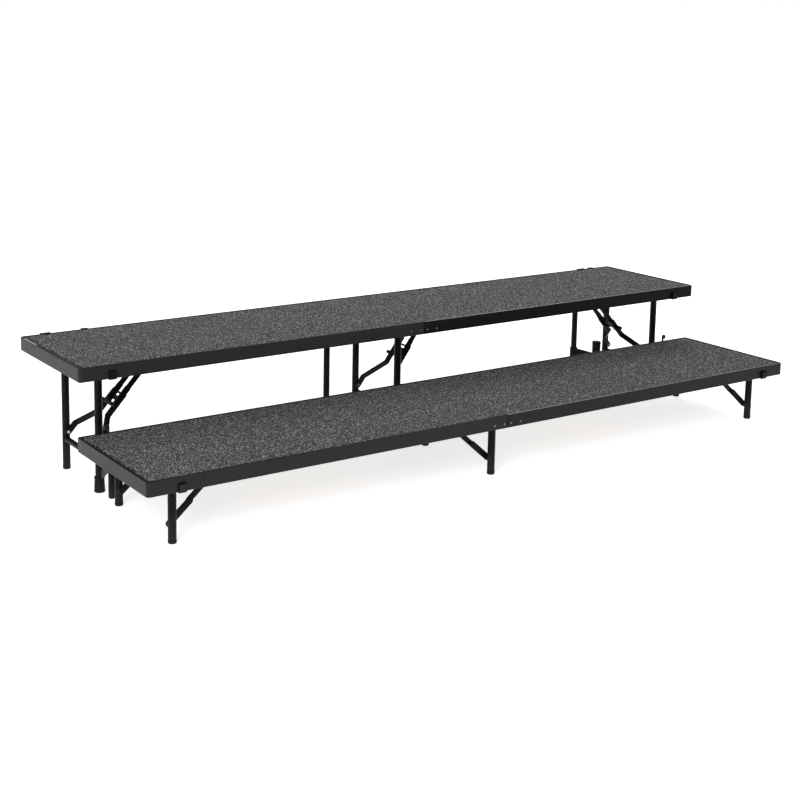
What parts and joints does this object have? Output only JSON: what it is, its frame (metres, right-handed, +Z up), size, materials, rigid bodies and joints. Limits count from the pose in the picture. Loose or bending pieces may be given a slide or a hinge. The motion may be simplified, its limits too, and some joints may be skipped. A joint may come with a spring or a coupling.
{
  "type": "choir riser",
  "caption": "Two-level straight choir riser: carpeted steel-rimmed decks on folding tube leg frames with jointed braces, tied together by hooked posts.",
  "frame": {"origin": "middle of the footprint, on the floor", "axes": "+X along the riser to the right as seen by the audience, +Y from the front step to the back step, +Z up"},
  "size_m": [2.4384, 0.903, 0.4084],
  "materials": {
    "steel": "satin dark grey paint",
    "black_steel": "satin black paint",
    "plywood": "plain plywood",
    "carpet": "flecked grey loop carpet",
    "rivet": "plated steel",
    "rubber": "matt black rubber"
  },
  "bodies": {
    "back_section": {"back_rim_left": "steel", "back_rim_right": "steel", "back_deck_board": "plywood", "back_carpet": "carpet", "back_splice_front": "rivet", "back_splice_rear": "rivet", "back_hinge_plate_left": "black_steel", "back_hinge_plate_centre": "black_steel", "back_hinge_plate_right": "black_steel"},
    "front_section": {"front_rim_left": "steel", "front_rim_right": "steel", "front_deck_board": "plywood", "front_carpet": "carpet", "front_splice_front": "rivet", "front_splice_rear": "rivet", "front_hinge_plate_left": "black_steel", "front_hinge_plate_centre": "black_steel", "front_hinge_plate_right": "black_steel", "tie_post_left": "black_steel", "tie_post_right": "black_steel"},
    "front_legs_left": {"front_leg_frame_left": "black_steel", "front_foot_left_front": "rubber", "front_foot_left_rear": "rubber"},
    "front_upper_left": {"front_upper_brace_left": "black_steel"},
    "front_lower_left_front": {"front_lower_arm_left_front": "black_steel"},
    "front_lower_left_rear": {"front_lower_arm_left_rear": "black_steel"},
    "front_legs_centre": {"front_leg_frame_centre": "black_steel", "front_foot_centre_front": "rubber", "front_foot_centre_rear": "rubber"},
    "front_upper_centre": {"front_upper_brace_centre": "black_steel"},
    "front_lower_centre_front": {"front_lower_arm_centre_front": "black_steel"},
    "front_lower_centre_rear": {"front_lower_arm_centre_rear": "black_steel"},
    "front_legs_right": {"front_leg_frame_right": "black_steel", "front_foot_right_front": "rubber", "front_foot_right_rear": "rubber"},
    "front_upper_right": {"front_upper_brace_right": "black_steel"},
    "front_lower_right_front": {"front_lower_arm_right_front": "black_steel"},
    "front_lower_right_rear": {"front_lower_arm_right_rear": "black_steel"},
    "back_legs_left": {"back_leg_frame_left": "black_steel", "back_boot_left_front": "rubber", "back_foot_left_rear": "rubber"},
    "back_upper_left": {"back_upper_brace_left": "black_steel"},
    "back_lower_left_front": {"back_lower_arm_left_front": "black_steel"},
    "back_lower_left_rear": {"back_lower_arm_left_rear": "black_steel"},
    "back_legs_centre": {"back_leg_frame_centre": "black_steel", "back_foot_centre_front": "rubber", "back_foot_centre_rear": "rubber"},
    "back_upper_centre": {"back_upper_brace_centre": "black_steel"},
    "back_lower_centre_front": {"back_lower_arm_centre_front": "black_steel"},
    "back_lower_centre_rear": {"back_lower_arm_centre_rear": "black_steel"},
    "back_legs_right": {"back_leg_frame_right": "black_steel", "back_boot_right_front": "rubber", "back_foot_right_rear": "rubber"},
    "back_upper_right": {"back_upper_brace_right": "black_steel"},
    "back_lower_right_front": {"back_lower_arm_right_front": "black_steel"},
    "back_lower_right_rear": {"back_lower_arm_right_rear": "black_steel"},
    "support_centre": {"support_post_centre": "black_steel"},
    "support_right": {"support_post_right": "black_steel", "outrigger_foot_right": "black_steel"}
  },
  "joints": [
    {"name": "front_left_fold", "type": "hinge", "parent": "front_section", "child": "front_legs_left", "pos_m": [-1.1175, -0.2104, 0.16705], "axis": [0, -1, 0], "range_deg": [0, 90]},
    {"name": "front_left_lower_front", "type": "hinge", "parent": "front_legs_left", "child": "front_lower_left_front", "pos_m": [-1.1175, -0.2104, 0.048], "axis": [0, -1, 0], "range_deg": [0, 49.23]},
    {"name": "front_left_lower_rear", "type": "hinge", "parent": "front_legs_left", "child": "front_lower_left_rear", "pos_m": [-1.1175, -0.2104, 0.048], "axis": [0, -1, 0], "range_deg": [0, 49.23]},
    {"name": "front_left_upper", "type": "hinge", "parent": "front_section", "child": "front_upper_left", "pos_m": [-0.9795, -0.2104, 0.16705], "axis": [0, 1, 0], "range_deg": [0, 40.79]},
    {"name": "front_centre_fold", "type": "hinge", "parent": "front_section", "child": "front_legs_centre", "pos_m": [-0.034, -0.2104, 0.16705], "axis": [0, 1, 0], "range_deg": [0, 90]},
    {"name": "front_centre_lower_front", "type": "hinge", "parent": "front_legs_centre", "child": "front_lower_centre_front", "pos_m": [-0.034, -0.2104, 0.048], "axis": [0, 1, 0], "range_deg": [0, 49.23]},
    {"name": "front_centre_lower_rear", "type": "hinge", "parent": "front_legs_centre", "child": "front_lower_centre_rear", "pos_m": [-0.034, -0.2104, 0.048], "axis": [0, 1, 0], "range_deg": [0, 49.23]},
    {"name": "front_centre_upper", "type": "hinge", "parent": "front_section", "child": "front_upper_centre", "pos_m": [-0.172, -0.2104, 0.16705], "axis": [0, -1, 0], "range_deg": [0, 40.79]},
    {"name": "front_right_fold", "type": "hinge", "parent": "front_section", "child": "front_legs_right", "pos_m": [1.1265, -0.2104, 0.16705], "axis": [0, 1, 0], "range_deg": [0, 90]},
    {"name": "front_right_lower_front", "type": "hinge", "parent": "front_legs_right", "child": "front_lower_right_front", "pos_m": [1.1265, -0.2104, 0.048], "axis": [0, 1, 0], "range_deg": [0, 49.23]},
    {"name": "front_right_lower_rear", "type": "hinge", "parent": "front_legs_right", "child": "front_lower_right_rear", "pos_m": [1.1265, -0.2104, 0.048], "axis": [0, 1, 0], "range_deg": [0, 49.23]},
    {"name": "front_right_upper", "type": "hinge", "parent": "front_section", "child": "front_upper_right", "pos_m": [0.9885, -0.2104, 0.16705], "axis": [0, -1, 0], "range_deg": [0, 40.79]},
    {"name": "back_left_fold", "type": "hinge", "parent": "back_section", "child": "back_legs_left", "pos_m": [-1.1175, 0.2184, 0.37025], "axis": [0, -1, 0], "range_deg": [0, 90]},
    {"name": "back_left_lower_front", "type": "hinge", "parent": "back_legs_left", "child": "back_lower_left_front", "pos_m": [-1.1175, 0.2184, 0.121], "axis": [0, -1, 0], "range_deg": [0, 42.46]},
    {"name": "back_left_lower_rear", "type": "hinge", "parent": "back_legs_left", "child": "back_lower_left_rear", "pos_m": [-1.1175, 0.2184, 0.121], "axis": [0, -1, 0], "range_deg": [0, 42.46]},
    {"name": "back_left_upper", "type": "hinge", "parent": "back_section", "child": "back_upper_left", "pos_m": [-0.8895, 0.2184, 0.37025], "axis": [0, 1, 0], "range_deg": [0, 47.56]},
    {"name": "back_centre_fold", "type": "hinge", "parent": "back_section", "child": "back_legs_centre", "pos_m": [-0.055, 0.2184, 0.37025], "axis": [0, -1, 0], "range_deg": [0, 90]},
    {"name": "back_centre_lower_front", "type": "hinge", "parent": "back_legs_centre", "child": "back_lower_centre_front", "pos_m": [-0.055, 0.2184, 0.121], "axis": [0, -1, 0], "range_deg": [0, 36.3]},
    {"name": "back_centre_lower_rear", "type": "hinge", "parent": "back_legs_centre", "child": "back_lower_centre_rear", "pos_m": [-0.055, 0.2184, 0.121], "axis": [0, -1, 0], "range_deg": [0, 36.3]},
    {"name": "back_centre_upper", "type": "hinge", "parent": "back_section", "child": "back_upper_centre", "pos_m": [0.128, 0.2184, 0.37025], "axis": [0, 1, 0], "range_deg": [0, 53.72]},
    {"name": "back_right_fold", "type": "hinge", "parent": "back_section", "child": "back_legs_right", "pos_m": [1.1265, 0.2184, 0.37025], "axis": [0, 1, 0], "range_deg": [0, 90]},
    {"name": "back_right_lower_front", "type": "hinge", "parent": "back_legs_right", "child": "back_lower_right_front", "pos_m": [1.1265, 0.2184, 0.121], "axis": [0, 1, 0], "range_deg": [0, 42.46]},
    {"name": "back_right_lower_rear", "type": "hinge", "parent": "back_legs_right", "child": "back_lower_right_rear", "pos_m": [1.1265, 0.2184, 0.121], "axis": [0, 1, 0], "range_deg": [0, 42.46]},
    {"name": "back_right_upper", "type": "hinge", "parent": "back_section", "child": "back_upper_right", "pos_m": [0.8985, 0.2184, 0.37025], "axis": [0, -1, 0], "range_deg": [0, 47.56]},
    {"name": "support_centre_fold", "type": "hinge", "parent": "back_section", "child": "support_centre", "pos_m": [-0.137, 0.4005, 0.3684], "axis": [0, 1, 0], "range_deg": [0, 90]},
    {"name": "support_right_fold", "type": "hinge", "parent": "back_section", "child": "support_right", "pos_m": [1.0142, 0.4005, 0.3684], "axis": [0, 1, 0], "range_deg": [0, 90]},
    {"name": "sections_apart", "type": "slide", "parent": "back_section", "child": "front_section", "axis": [0, -1, 0], "range_m": [0, 0.3]}
  ],
  "couplings": [
    {"joint": "front_left_lower_front", "follows": "front_left_fold", "ratio": 0.54685},
    {"joint": "front_left_lower_rear", "follows": "front_left_fold", "ratio": 0.54685},
    {"joint": "front_left_upper", "follows": "front_left_fold", "ratio": 0.45315},
    {"joint": "front_centre_lower_front", "follows": "front_centre_fold", "ratio": 0.54685},
    {"joint": "front_centre_lower_rear", "follows": "front_centre_fold", "ratio": 0.54685},
    {"joint": "front_centre_upper", "follows": "front_centre_fold", "ratio": 0.45315},
    {"joint": "front_right_lower_front", "follows": "front_right_fold", "ratio": 0.54685},
    {"joint": "front_right_lower_rear", "follows": "front_right_fold", "ratio": 0.54685},
    {"joint": "front_right_upper", "follows": "front_right_fold", "ratio": 0.45315},
    {"joint": "back_left_lower_front", "follows": "back_left_fold", "ratio": 0.47167},
    {"joint": "back_left_lower_rear", "follows": "back_left_fold", "ratio": 0.47167},
    {"joint": "back_left_upper", "follows": "back_left_fold", "ratio": 0.52833},
    {"joint": "back_centre_lower_front", "follows": "back_centre_fold", "ratio": 0.40318},
    {"joint": "back_centre_lower_rear", "follows": "back_centre_fold", "ratio": 0.40318},
    {"joint": "back_centre_upper", "follows": "back_centre_fold", "ratio": 0.59682},
    {"joint": "back_right_lower_front", "follows": "back_right_fold", "ratio": 0.47167},
    {"joint": "back_right_lower_rear", "follows": "back_right_fold", "ratio": 0.47167},
    {"joint": "back_right_upper", "follows": "back_right_fold", "ratio": 0.52833}
  ]
}
